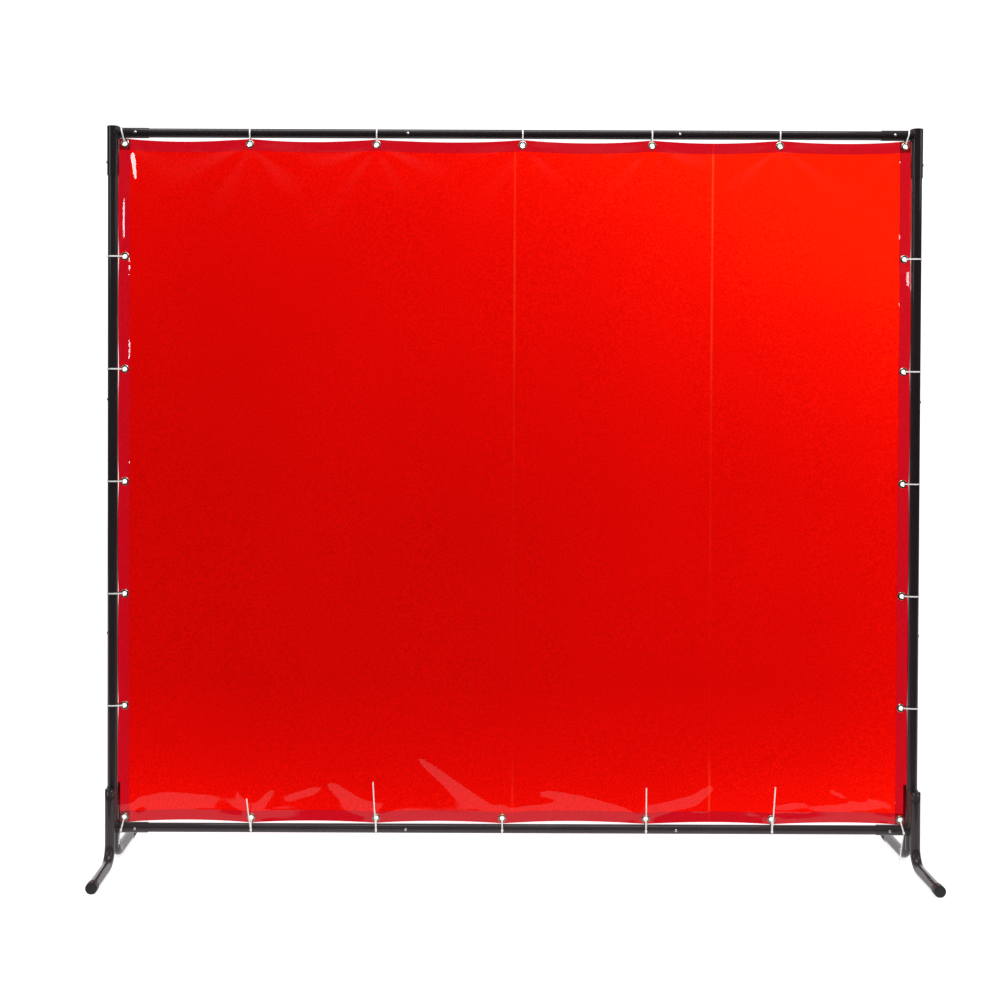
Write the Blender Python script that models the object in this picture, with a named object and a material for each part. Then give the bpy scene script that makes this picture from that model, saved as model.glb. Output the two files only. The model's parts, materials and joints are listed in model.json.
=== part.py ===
"""Free-standing welding curtain screen: a tied red curtain in a knock-down frame of round steel tube.

Metres, +Z up. The origin is on the floor under the middle of the frame. +X runs along the rails, and the
front faces -Y. Every tube joint is a slip fit locked by a sprung snap button.
"""

import math

import bmesh
import bpy
from mathutils import Matrix, Vector

# Driving dimensions of the frame.
POST_X = 1.070
POST_RADIUS = 0.014
RAIL_RADIUS = 0.0125
TUBE_WALL = 0.0012
TOP_RAIL_Z = 1.954
BOTTOM_RAIL_Z = 0.099
POST_JOINTS_Z = (0.654, 1.279)
RAIL_JOINTS_X = (-0.322, 0.400)
SLIP_GAP = 0.0003
SPIGOT_LENGTH = 0.060
TUBE_SIDES = 16

# Welded sleeves and stubs that the posts and rails slide into.
SLEEVE_RADIUS = 0.016
SLEEVE_BORE = 0.0145
STUB_RADIUS = 0.01425
STUB_BORE = RAIL_RADIUS + 0.00035
STUB_REACH = 0.095
RAIL_END_X = POST_X - 0.038
TOP_SLEEVE_Z = (1.841, 1.9705)
FOOT_SLEEVE_Z = (0.045, 0.208)
FOOT_FLOOR = 0.003
POST_BOTTOM_Z = FOOT_SLEEVE_Z[0] + FOOT_FLOOR + SLIP_GAP
POST_TOP_Z = 1.958

# Feet: two L-shaped tubes welded in front of and behind each socket.
LEG_RADIUS = 0.0135
LEG_WALL = 0.0015
LEG_STAND_Y = SLEEVE_RADIUS + LEG_RADIUS + SLIP_GAP
LEG_REACH_Y = 0.2345
LEG_BEND_RADIUS = 0.050
LEG_BEND_STEPS = 4
END_CAP_RADIUS = 0.0153
END_CAP_LENGTH = 0.024
END_CAP_FLOOR = 0.002
END_CAP_FLAT = 0.0007
LEG_AXIS_Z = END_CAP_RADIUS - END_CAP_FLAT
PLUG_HEAD = 0.0025
PLUG_STEM = 0.008

# Snap buttons.
BUTTON_RADIUS = 0.0038
BUTTON_HOLE_RADIUS = 0.0043
BUTTON_STAND_OUT = 0.0025
BUTTON_SIDES = 12
SPRING_WIDTH = 0.007
SPRING_THICKNESS = 0.0008
SPRING_LENGTH = 0.014
SPRING_TAIL = 0.005
SPRING_BEND_STEPS = 6
SPRING_CLEARANCE = 0.0004
RAIL_CORNER_BUTTON = 0.062
RAIL_JOINT_BUTTON = 0.037
POST_JOINT_BUTTON = 0.034
POST_TOP_BUTTON_Z = 1.876
POST_BOTTOM_BUTTON_Z = 0.119

# Curtain: thin sheet with a doubled hem and a metal eyelet at every tie.
CURTAIN_HALF_WIDTH = 1.0530
CURTAIN_Z = (0.1145, 1.9385)
CURTAIN_Y = -0.006
SHEET_THICKNESS = 0.0005
HEM_THICKNESS = 0.0010
HEM_WIDTH = 0.030
EYELET_RADIUS = 0.011
EYELET_HOLE_RADIUS = 0.0058
EYELET_THICKNESS = 0.0030
EYELET_SIDES = 8
SIDE_EYELET_X = 1.037
TOP_EYELETS_X = (-0.705, -0.368, 0.020, 0.364, 0.704)
BOTTOM_EYELETS_X = (-0.698, -0.364, -0.027, 0.357, 0.693)
TOP_EYELET_Z = 1.925
EYELET_PITCH_Z = 0.2995
EYELET_ROWS = 7

SIDES = {"left": -1, "right": 1}
DEPTHS = {"front": -1, "rear": 1}
CUTTER_MARGIN = 0.002


def clear_scene():
    for obj in list(bpy.data.objects):
        bpy.data.objects.remove(obj, do_unlink=True)


def material(name, colour, metallic, roughness):
    made = bpy.data.materials.new(name)
    made.use_nodes = True
    shader = made.node_tree.nodes["Principled BSDF"]
    shader.inputs["Base Color"].default_value = (*colour, 1.0)
    shader.inputs["Metallic"].default_value = metallic
    shader.inputs["Roughness"].default_value = roughness
    return made


def black_powder_coat(name):
    return material(name, (0.018, 0.017, 0.016), 0.0, 0.28)


def black_plastic(name):
    return material(name, (0.02, 0.02, 0.02), 0.0, 0.45)


def zinc_steel(name):
    return material(name, (0.55, 0.55, 0.53), 1.0, 0.30)


def red_vinyl(name):
    return material(name, (0.75, 0.01, 0.005), 0.0, 0.25)


def object_from(bm, name, looks=None):
    """Turns a bmesh into an object with outward faces and smooth round surfaces."""
    bmesh.ops.recalc_face_normals(bm, faces=bm.faces)
    mesh = bpy.data.meshes.new(name)
    bm.to_mesh(mesh)
    bm.free()
    obj = bpy.data.objects.new(name, mesh)
    bpy.context.scene.collection.objects.link(obj)
    if looks:
        mesh.materials.append(looks(name))
    smooth(mesh)
    return obj


def smooth(mesh):
    mesh.shade_smooth()
    mesh.set_sharp_from_angle(angle=math.radians(40))


def turned(profile, sides):
    """A body of revolution about Z, from (radius, height) points that go once round its section."""
    bm = bmesh.new()
    points = [bm.verts.new((radius, 0.0, height)) for radius, height in profile]
    pairs = list(zip(points, points[1:]))
    if profile[0][0] > 0.0:
        pairs.append((points[-1], points[0]))
    edges = [bm.edges.new(pair) for pair in pairs]
    bmesh.ops.spin(
        bm, geom=points + edges, cent=(0, 0, 0), axis=(0, 0, 1), angle=math.tau,
        steps=sides, use_merge=True,
    )
    bmesh.ops.remove_doubles(bm, verts=bm.verts, dist=1e-6)
    return bm


def rod(radius, start, end, sides):
    """A solid cylinder between two points."""
    start, end = Vector(start), Vector(end)
    turn = (end - start).to_track_quat("Z", "Y").to_matrix().to_4x4()
    bm = bmesh.new()
    bmesh.ops.create_cone(
        bm, cap_ends=True, segments=sides, radius1=radius, radius2=radius,
        depth=(end - start).length, matrix=Matrix.Translation((start + end) / 2) @ turn,
    )
    return bm


def block(low, high):
    """A solid box between two corners."""
    low, high = Vector(low), Vector(high)
    bm = bmesh.new()
    size = Matrix.Diagonal((*(high - low), 1.0))
    bmesh.ops.create_cube(bm, size=1.0, matrix=Matrix.Translation((low + high) / 2) @ size)
    return bm


def combined(target, tools, operation):
    """Applies one Boolean per tool to the target, then removes the tools."""
    made = [object_from(bm, f"{target.name}_tool_{index}") for index, bm in enumerate(tools)]
    for tool in made:
        tool.hide_render = True
        tool.display_type = "WIRE"
        change = target.modifiers.new(tool.name, "BOOLEAN")
        change.operation = operation
        change.solver = "EXACT"
        change.object = tool
    bpy.context.view_layer.update()
    graph = bpy.context.evaluated_depsgraph_get()
    mesh = bpy.data.meshes.new_from_object(target.evaluated_get(graph))
    target.modifiers.clear()
    target.data = mesh
    for tool in made:
        bpy.data.objects.remove(tool, do_unlink=True)
    smooth(mesh)
    return target


def tube_section(name, radius, length, has_spigot):
    """A tube along +Z from its joint face at the origin, with a reduced spigot below that face."""
    bore = radius - TUBE_WALL
    if has_spigot:
        spigot = bore - SLIP_GAP
        spigot_bore = spigot - TUBE_WALL
        profile = [
            (radius, length), (radius, 0.0), (spigot, 0.0), (spigot, -SPIGOT_LENGTH),
            (spigot_bore, -SPIGOT_LENGTH), (spigot_bore, 0.006), (bore, 0.012), (bore, length),
        ]
    else:
        profile = [(radius, length), (radius, SLIP_GAP), (bore, SLIP_GAP), (bore, length)]
    return object_from(turned(profile, TUBE_SIDES), name, black_powder_coat)


def button_holes(tube, places):
    """Drills a button hole for each (point on the tube's axis, outward direction)."""
    tools = []
    for point, outward in places:
        far = Vector(outward) * (SLEEVE_RADIUS + CUTTER_MARGIN)
        tools.append(rod(BUTTON_HOLE_RADIUS, point, Vector(point) + far, BUTTON_SIDES))
    return combined(tube, tools, "DIFFERENCE")


def rail_corner_button_x(side):
    return side * (POST_X - RAIL_CORNER_BUTTON)


def build_rail(level, height):
    """Three tube sections in line; the left and middle ones each end in a spigot on the right."""
    left_joint, right_joint = RAIL_JOINTS_X
    front = (0, -1, 0)
    sections = (
        ("left", left_joint, left_joint + RAIL_END_X, True),
        ("middle", right_joint, right_joint - left_joint - SLIP_GAP, True),
        ("right", RAIL_END_X, RAIL_END_X - right_joint - SLIP_GAP, False),
    )
    holes = {
        "left": (rail_corner_button_x(-1), left_joint + RAIL_JOINT_BUTTON),
        "middle": (left_joint + RAIL_JOINT_BUTTON, right_joint + RAIL_JOINT_BUTTON),
        "right": (right_joint + RAIL_JOINT_BUTTON, rail_corner_button_x(1)),
    }
    for where, face_x, length, has_spigot in sections:
        rail = tube_section(f"{level}_rail_{where}", RAIL_RADIUS, length, has_spigot)
        button_holes(rail, [((0, 0, face_x - x), front) for x in holes[where]])
        rail.rotation_euler = (0, -math.pi / 2, 0)
        rail.location = (face_x, 0, height)


def build_post(where, side):
    """Three tube sections, one on top of the other; the upper two end in a spigot at the bottom."""
    low_joint, high_joint = POST_JOINTS_Z
    outer = (side, 0, 0)
    inner = (-side, 0, 0)
    sections = (
        ("lower", POST_BOTTOM_Z, low_joint, False),
        ("middle", low_joint, high_joint, True),
        ("upper", high_joint, POST_TOP_Z, True),
    )
    holes = {
        "lower": (
            (POST_BOTTOM_BUTTON_Z, outer), (POST_BOTTOM_BUTTON_Z, inner),
            (low_joint - POST_JOINT_BUTTON, outer),
        ),
        "middle": ((low_joint - POST_JOINT_BUTTON, outer), (high_joint - POST_JOINT_BUTTON, outer)),
        "upper": (
            (high_joint - POST_JOINT_BUTTON, outer),
            (POST_TOP_BUTTON_Z, outer), (POST_TOP_BUTTON_Z, inner),
        ),
    }
    for part, bottom, top, has_spigot in sections:
        length = top - bottom - (0.0 if part == "upper" else SLIP_GAP)
        post = tube_section(f"post_{where}_{part}", POST_RADIUS, length, has_spigot)
        button_holes(post, [((0, 0, z - bottom), outward) for z, outward in holes[part]])
        post.location = (side * POST_X, 0, bottom)


def socket_with_stub(name, side, span, bore_span, stub_z, button_z):
    """A vertical sleeve with a stub welded to its inner side, both bored for the tubes they take.

    It is made as the right-hand one and mirrored for the left, so that the two match.
    """
    inward = Vector((-1, 0, 0))
    axis = Vector((0, 0, stub_z))
    sleeve_rod = rod(SLEEVE_RADIUS, (0, 0, span[0]), (0, 0, span[1]), TUBE_SIDES)
    sleeve = object_from(sleeve_rod, name, black_powder_coat)
    combined(sleeve, [rod(STUB_RADIUS, axis, axis + inward * STUB_REACH, TUBE_SIDES)], "UNION")
    far = STUB_REACH + CUTTER_MARGIN
    bores = [
        rod(SLEEVE_BORE, (0, 0, bore_span[0]), (0, 0, bore_span[1]), TUBE_SIDES),
        rod(STUB_BORE, axis + inward * (SLEEVE_RADIUS + CUTTER_MARGIN), axis + inward * far, TUBE_SIDES),
    ]
    combined(sleeve, bores, "DIFFERENCE")
    stub_hole = (axis + inward * RAIL_CORNER_BUTTON, (0, -1, 0))
    side_holes = [((0, 0, button_z), (1, 0, 0)), ((0, 0, button_z), (-1, 0, 0))]
    button_holes(sleeve, [stub_hole] + side_holes)
    if side < 0:
        sleeve.data.transform(Matrix.Diagonal((-1, 1, 1, 1)))
        sleeve.data.flip_normals()
    sleeve.location = (side * POST_X, 0, 0)


def build_top_corner(where, side):
    bottom, top = TOP_SLEEVE_Z
    bore_span = (bottom - CUTTER_MARGIN, top + CUTTER_MARGIN)
    socket_with_stub(f"top_corner_{where}", side, TOP_SLEEVE_Z, bore_span, TOP_RAIL_Z, POST_TOP_BUTTON_Z)
    cap = plug(f"top_corner_cap_{where}", SLEEVE_RADIUS, SLEEVE_BORE)
    cap.location = (side * POST_X, 0, top + SLIP_GAP)


def plug(name, head_radius, bore):
    """A push-in plug: a low domed head that covers the tube's rim, and a stem inside its bore."""
    stem = bore - SLIP_GAP
    profile = [
        (0.0, PLUG_HEAD), (head_radius * 0.8, PLUG_HEAD * 0.85), (head_radius, PLUG_HEAD * 0.4),
        (head_radius, 0.0), (stem, 0.0), (stem, -PLUG_STEM), (0.0, -PLUG_STEM),
    ]
    return object_from(turned(profile, TUBE_SIDES), name, black_plastic)


def build_foot(where, side):
    """A socket for the post, closed at the bottom, with an L-shaped leg in front and another behind."""
    bottom, top = FOOT_SLEEVE_Z
    bore_span = (bottom + FOOT_FLOOR, top + CUTTER_MARGIN)
    socket_with_stub(f"foot_socket_{where}", side, FOOT_SLEEVE_Z, bore_span, BOTTOM_RAIL_Z, POST_BOTTOM_BUTTON_Z)
    for depth, forward in DEPTHS.items():
        leg = bent_leg(f"leg_{depth}_{where}")
        leg.rotation_euler = (0, 0, math.pi if forward < 0 else 0)
        leg.location = (side * POST_X, 0, 0)
        top_plug = plug(f"leg_plug_{depth}_{where}", LEG_RADIUS, LEG_RADIUS - LEG_WALL)
        top_plug.location = (side * POST_X, forward * LEG_STAND_Y, top + SLIP_GAP)
        cap = end_cap(f"leg_cap_{depth}_{where}")
        cap.rotation_euler = (math.pi / 2, 0, math.pi if forward > 0 else 0)
        cap.location = (side * POST_X, forward * LEG_REACH_Y, LEG_AXIS_Z)


def bent_leg(name):
    """A tube that comes down beside the socket, bends through a quarter turn and runs out along +Y."""
    bm = bmesh.new()
    start = Matrix.Translation((0, LEG_STAND_Y, FOOT_SLEEVE_Z[1]))
    ring = bmesh.ops.create_circle(bm, segments=TUBE_SIDES, radius=LEG_RADIUS, matrix=start)["verts"]
    bend_z = LEG_AXIS_Z + LEG_BEND_RADIUS
    ring = extruded(bm, ring, Vector((0, 0, bend_z - FOOT_SLEEVE_Z[1])))
    centre = (0, LEG_STAND_Y + LEG_BEND_RADIUS, bend_z)
    spun = bmesh.ops.spin(
        bm, geom=ring + edges_between(ring), cent=centre, axis=(1, 0, 0), angle=math.pi / 2,
        steps=LEG_BEND_STEPS,
    )
    ring = [item for item in spun["geom_last"] if isinstance(item, bmesh.types.BMVert)]
    end_y = LEG_REACH_Y - END_CAP_FLOOR - SLIP_GAP
    extruded(bm, ring, Vector((0, end_y - LEG_STAND_Y - LEG_BEND_RADIUS, 0)))
    leg = object_from(bm, name, black_powder_coat)
    wall = leg.modifiers.new("Tube wall", "SOLIDIFY")
    wall.thickness = LEG_WALL
    wall.offset = -1.0
    return leg


def edges_between(verts):
    chosen = set(verts)
    return [edge for edge in {e for v in verts for e in v.link_edges} if set(edge.verts) <= chosen]


def extruded(bm, ring, step):
    """Extrudes the ring's edges by a step and gives back the new ring."""
    made = bmesh.ops.extrude_edge_only(bm, edges=edges_between(ring))["geom"]
    verts = [item for item in made if isinstance(item, bmesh.types.BMVert)]
    bmesh.ops.translate(bm, verts=verts, vec=step)
    return verts


def end_cap(name):
    """A slip-over cap with its closed end at the origin, its bore along -Z and a flat sole at +Y."""
    bore = LEG_RADIUS + SLIP_GAP
    edge = 0.0015
    profile = [
        (0.0, 0.0), (END_CAP_RADIUS - edge, 0.0), (END_CAP_RADIUS, -edge), (END_CAP_RADIUS, -END_CAP_LENGTH),
        (bore, -END_CAP_LENGTH), (bore, -END_CAP_FLOOR), (0.0, -END_CAP_FLOOR),
    ]
    cap = object_from(turned(profile, TUBE_SIDES), name, black_plastic)
    far = END_CAP_RADIUS + CUTTER_MARGIN
    sole = block((-far, -far, -END_CAP_LENGTH - CUTTER_MARGIN), (far, -LEG_AXIS_Z, CUTTER_MARGIN))
    return combined(cap, [sole], "DIFFERENCE")


def spring_strip(name, path):
    """A strip of spring steel bent along a path in the XZ plane, as wide as SPRING_WIDTH."""
    half = Vector((0, SPRING_WIDTH / 2, 0))
    bm = bmesh.new()
    pairs = [(bm.verts.new(point - half), bm.verts.new(point + half)) for point in path]
    for (a, b), (c, d) in zip(pairs, pairs[1:]):
        bm.faces.new((a, b, d, c))
    strip = object_from(bm, name, zinc_steel)
    thickness = strip.modifiers.new("Strip thickness", "SOLIDIFY")
    thickness.thickness = SPRING_THICKNESS
    thickness.offset = 0.0
    return strip


def spring_bend(centre_x, centre_z, radius):
    """Points round the half turn that joins a spring's two legs, from the upper leg to the lower."""
    angles = [math.pi * step / SPRING_BEND_STEPS for step in range(SPRING_BEND_STEPS + 1)]
    return [Vector((centre_x + radius * math.sin(a), 0, centre_z + radius * math.cos(a))) for a in angles]


def leaf_height(bore):
    """How far from the tube's axis the middle of a spring leg lies when it presses on the bore."""
    touching = math.sqrt(bore**2 - (SPRING_WIDTH / 2) ** 2)
    return touching - SPRING_CLEARANCE - SPRING_THICKNESS / 2


def with_button(strip, outer_radius, leaf):
    """Joins a button to the upper leg of its spring, above the origin."""
    tip = outer_radius + BUTTON_STAND_OUT
    head = [
        (0.0, tip), (BUTTON_RADIUS * 0.6, tip - 0.0004), (BUTTON_RADIUS, tip - 0.0016),
        (BUTTON_RADIUS, leaf), (0.0, leaf),
    ]
    return combined(strip, [turned(head, BUTTON_SIDES)], "UNION")


def placed(piece, location, outward, along):
    """Turns a spring so that its button faces outward and its legs run along the tube."""
    outward, along = Vector(outward), Vector(along)
    turn = Matrix((along, outward.cross(along), outward)).transposed()
    piece.matrix_world = Matrix.Translation(location) @ turn.to_4x4()


def single_button(name, location, outward, along, outer_radius, bore):
    """A button riveted to a hairpin spring.

    The free leg is set in from the tube's far wall by the length of the stroke, so that the rigid
    piece can travel inwards.
    """
    leaf = leaf_height(bore)
    stroke = outer_radius + BUTTON_STAND_OUT - bore - TUBE_WALL
    radius = leaf - stroke / 2
    path = [Vector((-SPRING_TAIL, 0, leaf))]
    path += spring_bend(SPRING_LENGTH, leaf - radius, radius)
    path.append(Vector((0, 0, leaf - 2 * radius)))
    placed(with_button(spring_strip(name, path), outer_radius, leaf), location, outward, along)


def build_rail_buttons(level, height):
    rail_bore = RAIL_RADIUS - TUBE_WALL
    spigot_bore = rail_bore - SLIP_GAP - TUBE_WALL
    front = (0, -1, 0)
    for where, side in SIDES.items():
        place = (rail_corner_button_x(side), 0, height)
        single_button(f"button_{level}_corner_{where}", place, front, (-side, 0, 0), STUB_RADIUS, rail_bore)
    for where, joint_x in zip(SIDES, RAIL_JOINTS_X):
        place = (joint_x + RAIL_JOINT_BUTTON, 0, height)
        single_button(f"button_{level}_rail_joint_{where}", place, front, (-1, 0, 0), RAIL_RADIUS, spigot_bore)


def build_post_joint_buttons(where, side):
    spigot_bore = POST_RADIUS - TUBE_WALL - SLIP_GAP - TUBE_WALL
    for part, joint_z in zip(("lower", "upper"), POST_JOINTS_Z):
        place = (side * POST_X, 0, joint_z - POST_JOINT_BUTTON)
        name = f"button_post_joint_{where}_{part}"
        single_button(name, place, (side, 0, 0), (0, 0, 1), POST_RADIUS, spigot_bore)


def build_post_end_springs(where, side):
    """At each end of a post, one spring carries two buttons: two legs that slide, and their bend."""
    leaf = leaf_height(POST_RADIUS - TUBE_WALL)
    leg_end = 2 * SPRING_LENGTH
    ends = (("top", POST_TOP_BUTTON_Z, -1), ("foot", POST_BOTTOM_BUTTON_Z, 1))
    for end, height, into_post in ends:
        along = (0, 0, into_post)
        place = (side * POST_X, 0, height)
        for face, outward in (("outer", (side, 0, 0)), ("inner", (-side, 0, 0))):
            path = [Vector((-SPRING_TAIL, 0, leaf)), Vector((leg_end, 0, leaf))]
            leg = spring_strip(f"button_{end}_{where}_{face}", path)
            placed(with_button(leg, SLEEVE_RADIUS, leaf), place, outward, along)
        path = spring_bend(leg_end + SPRING_CLEARANCE, 0.0, leaf)
        placed(spring_strip(f"spring_bend_{end}_{where}", path), place, (side, 0, 0), along)


def eyelet_places():
    """The (x, z) of every eyelet: a full column up each side, and the rows between them."""
    rows = [TOP_EYELET_Z - EYELET_PITCH_Z * row for row in range(EYELET_ROWS)]
    places = [(side * SIDE_EYELET_X, z) for side in SIDES.values() for z in rows]
    places += [(x, rows[0]) for x in TOP_EYELETS_X]
    places += [(x, rows[-1]) for x in BOTTOM_EYELETS_X]
    return places


def build_curtain():
    """The sheet, its doubled hem all round and its crimped eyelets, as one piece."""
    bottom, top = CURTAIN_Z
    wide = CURTAIN_HALF_WIDTH
    hem = HEM_THICKNESS / 2
    curtain = object_from(block((-wide, -hem, bottom), (wide, hem, top)), "curtain", red_vinyl)
    curtain.location = (0, CURTAIN_Y, 0)
    web = SHEET_THICKNESS / 2
    inside = wide - HEM_WIDTH
    pockets = []
    for forward in DEPTHS.values():
        near, far = sorted((forward * web, forward * (hem + CUTTER_MARGIN)))
        low = (-inside, CURTAIN_Y + near, bottom + HEM_WIDTH)
        pockets.append(block(low, (inside, CURTAIN_Y + far, top - HEM_WIDTH)))
    combined(curtain, pockets, "DIFFERENCE")
    combined(curtain, [eyelet_rods(EYELET_RADIUS, EYELET_THICKNESS / 2)], "UNION")
    combined(curtain, [eyelet_rods(EYELET_HOLE_RADIUS, EYELET_THICKNESS)], "DIFFERENCE")


def eyelet_rods(radius, reach):
    """Short rods through the curtain at every eyelet, in one bmesh."""
    bm = bmesh.new()
    turn = Matrix.Rotation(math.pi / 2, 4, "X")
    for x, z in eyelet_places():
        bmesh.ops.create_cone(
            bm, cap_ends=True, segments=EYELET_SIDES, radius1=radius, radius2=radius,
            depth=2 * reach, matrix=Matrix.Translation((x, CURTAIN_Y, z)) @ turn,
        )
    return bm


def build():
    clear_scene()
    for level, height in (("top", TOP_RAIL_Z), ("bottom", BOTTOM_RAIL_Z)):
        build_rail(level, height)
        build_rail_buttons(level, height)
    for where, side in SIDES.items():
        build_post(where, side)
        build_top_corner(where, side)
        build_foot(where, side)
        build_post_joint_buttons(where, side)
        build_post_end_springs(where, side)
    build_curtain()


build()
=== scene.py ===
# %% [markdown]
# # A welding curtain screen, dressed piece by piece
#
# The screen is a sheet of tinted see-through vinyl, tied with nylon cable ties into a frame of black steel
# tube. The frame's sizes are fixed already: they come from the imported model, which this script loads first.
# The lesson is in how each real piece is made, and in which Blender tool comes closest to the way it is
# made.

# %% Load the fixed frame
import json
import math

import bmesh
import bpy
import numpy as np
from mathutils import Matrix, Vector

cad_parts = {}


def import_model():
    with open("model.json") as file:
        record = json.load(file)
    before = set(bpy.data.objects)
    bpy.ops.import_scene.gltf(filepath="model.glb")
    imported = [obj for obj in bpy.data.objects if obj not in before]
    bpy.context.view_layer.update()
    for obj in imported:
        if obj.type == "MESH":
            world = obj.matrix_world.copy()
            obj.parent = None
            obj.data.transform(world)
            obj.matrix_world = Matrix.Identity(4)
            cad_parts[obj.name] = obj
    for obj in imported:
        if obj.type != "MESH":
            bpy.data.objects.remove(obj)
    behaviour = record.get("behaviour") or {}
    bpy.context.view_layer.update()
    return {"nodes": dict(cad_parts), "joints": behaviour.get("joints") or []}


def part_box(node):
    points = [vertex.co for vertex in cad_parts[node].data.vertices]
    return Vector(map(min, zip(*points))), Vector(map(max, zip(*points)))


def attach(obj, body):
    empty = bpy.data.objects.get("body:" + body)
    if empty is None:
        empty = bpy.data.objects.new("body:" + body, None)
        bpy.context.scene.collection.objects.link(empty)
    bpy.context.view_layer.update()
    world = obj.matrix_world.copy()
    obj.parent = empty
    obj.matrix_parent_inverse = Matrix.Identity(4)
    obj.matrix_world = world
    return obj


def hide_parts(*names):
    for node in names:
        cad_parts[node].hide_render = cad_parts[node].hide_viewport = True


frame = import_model()

# %% [markdown]
# ## Measures
#
# Every tube's axis and radius is read from its own box in the frame. Only the sizes that a box can't tell,
# such as a wall's thickness, are named here.

# %% Read the measures from the frame
FRAME = "frame"
SIDES = {"left": -1, "right": 1}
DEPTHS = {"front": -1, "rear": 1}
LEVELS = ("top", "bottom")
TUBE_WALL = 0.0012
SLIP_GAP = 0.0003
SPIGOT_LENGTH = 0.060
ROUND = 48


def middle(node):
    low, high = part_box(node)
    return (Vector(low) + Vector(high)) / 2


def span(node, axis):
    low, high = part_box(node)
    return low[axis], high[axis]


def width_of(node, axis):
    low, high = span(node, axis)
    return high - low


rail_radius = width_of("top_rail_left", 2) / 2
post_radius = width_of("post_left_middle", 1) / 2
sleeve_radius = width_of("top_corner_cap_left", 0) / 2
leg_radius = width_of("leg_front_left", 0) / 2
post_x = {where: middle(f"post_{where}_middle").x for where in SIDES}
rail_z = {level: middle(f"{level}_rail_middle").z for level in LEVELS}
STUB_CLEARANCE = 0.00055
stub_radius = rail_radius + TUBE_WALL + STUB_CLEARANCE
for label, radius in (("rails", rail_radius), ("posts", post_radius), ("legs", leg_radius)):
    print(f"{label} are {radius * 2000:.0f} mm across")

# %% [markdown]
# ## Two ways to make a mesh
#
# A tube, a cap, a plug and an eyelet are all turned shapes: one outline spun round an axis. bmesh.ops.spin
# does what a lathe does. The outline is drawn once in radius and height, spun, and the whole shape is then
# turned to lie along any direction. A second helper turns a bmesh into a finished piece that rides on its
# body of the frame.

# %% Lathe and finishing helpers
def pointing(direction, place, across=None):
    """A matrix that takes +Z to a direction and the origin to a place."""
    z = Vector(direction).normalized()
    x = Vector(across) if across else z.orthogonal()
    x = (x - z * x.dot(z)).normalized()
    return Matrix.Translation(place) @ Matrix((x, z.cross(x), z)).transposed().to_4x4()


def lathe(outline, sides=ROUND, matrix=None):
    """Spins (radius, height) points about Z. An outline that leaves the axis is closed into a ring."""
    bm = bmesh.new()
    points = [bm.verts.new((radius, 0.0, height)) for radius, height in outline]
    pairs = list(zip(points, points[1:]))
    if outline[0][0] > 0:
        pairs.append((points[-1], points[0]))
    edges = [bm.edges.new(pair) for pair in pairs]
    bmesh.ops.spin(bm, geom=points + edges, axis=(0, 0, 1), angle=math.tau, steps=sides, use_merge=True)
    bmesh.ops.remove_doubles(bm, verts=bm.verts, dist=1e-6)
    bmesh.ops.recalc_face_normals(bm, faces=bm.faces)
    if matrix:
        bm.transform(matrix)
    return bm


def piece(name, bm, looks, body=FRAME, node=None, angle=35):
    """Makes a shown piece from a bmesh, smooth except at edges sharper than the angle."""
    mesh = bpy.data.meshes.new(name)
    bm.to_mesh(mesh)
    bm.free()
    mesh.shade_smooth()
    mesh.set_sharp_from_angle(angle=math.radians(angle))
    for look in looks if isinstance(looks, list) else [looks]:
        mesh.materials.append(look)
    made = bpy.data.objects.new(name, mesh)
    bpy.context.scene.collection.objects.link(made)
    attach(made, body)
    if node:
        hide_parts(node)
    return made


def joined(parts):
    """Puts several bmeshes into one."""
    whole = bmesh.new()
    for bm in parts:
        scrap = bpy.data.meshes.new("part")
        bm.to_mesh(scrap)
        bm.free()
        whole.from_mesh(scrap)
        bpy.data.meshes.remove(scrap)
    return whole


def cut(made, tools, operation="DIFFERENCE"):
    """Cuts tools from a piece, or joins them to it, and leaves a plain mesh behind."""
    helpers = []
    for bm in tools:
        mesh = bpy.data.meshes.new("tool")
        bm.to_mesh(mesh)
        bm.free()
        helper = bpy.data.objects.new("tool", mesh)
        bpy.context.scene.collection.objects.link(helper)
        step = made.modifiers.new("tool", "BOOLEAN")
        step.operation = operation
        step.object = helper
        helpers.append(helper)
    bpy.context.view_layer.update()
    seen = made.evaluated_get(bpy.context.evaluated_depsgraph_get())
    mesh = bpy.data.meshes.new_from_object(seen)
    mesh.name = made.name
    made.modifiers.clear()
    made.data = mesh
    for helper in helpers:
        bpy.data.objects.remove(helper)
    mesh.shade_smooth()
    mesh.set_sharp_from_angle(angle=math.radians(35))


print("helpers ready")

# %% [markdown]
# ## Finishes
#
# Each finish is a small node tree around one Principled shader. What is the same all over a surface is set
# on the shader's own socket. Only what really varies from place to place, such as the orange peel of powder
# coat, comes from a texture, in object coordinates, so that it has its true size in metres.

# %% Node helpers
def finish_named(name, **sockets):
    """A new material, its node tree and its Principled shader, with constants set on the sockets."""
    made = bpy.data.materials.new(name)
    made.use_nodes = True
    tree = made.node_tree
    shader = tree.nodes["Principled BSDF"]
    for socket, value in sockets.items():
        shader.inputs[socket.replace("_", " ")].default_value = value
    return made, tree, shader


def noise(tree, scale, detail=3.0, roughness=0.5):
    """A noise whose scale is in bumps per metre."""
    place = tree.nodes.new("ShaderNodeTexCoord")
    texture = tree.nodes.new("ShaderNodeTexNoise")
    texture.inputs["Scale"].default_value = scale
    texture.inputs["Detail"].default_value = detail
    texture.inputs["Roughness"].default_value = roughness
    tree.links.new(place.outputs["Object"], texture.inputs["Vector"])
    return texture.outputs["Fac"]


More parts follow.
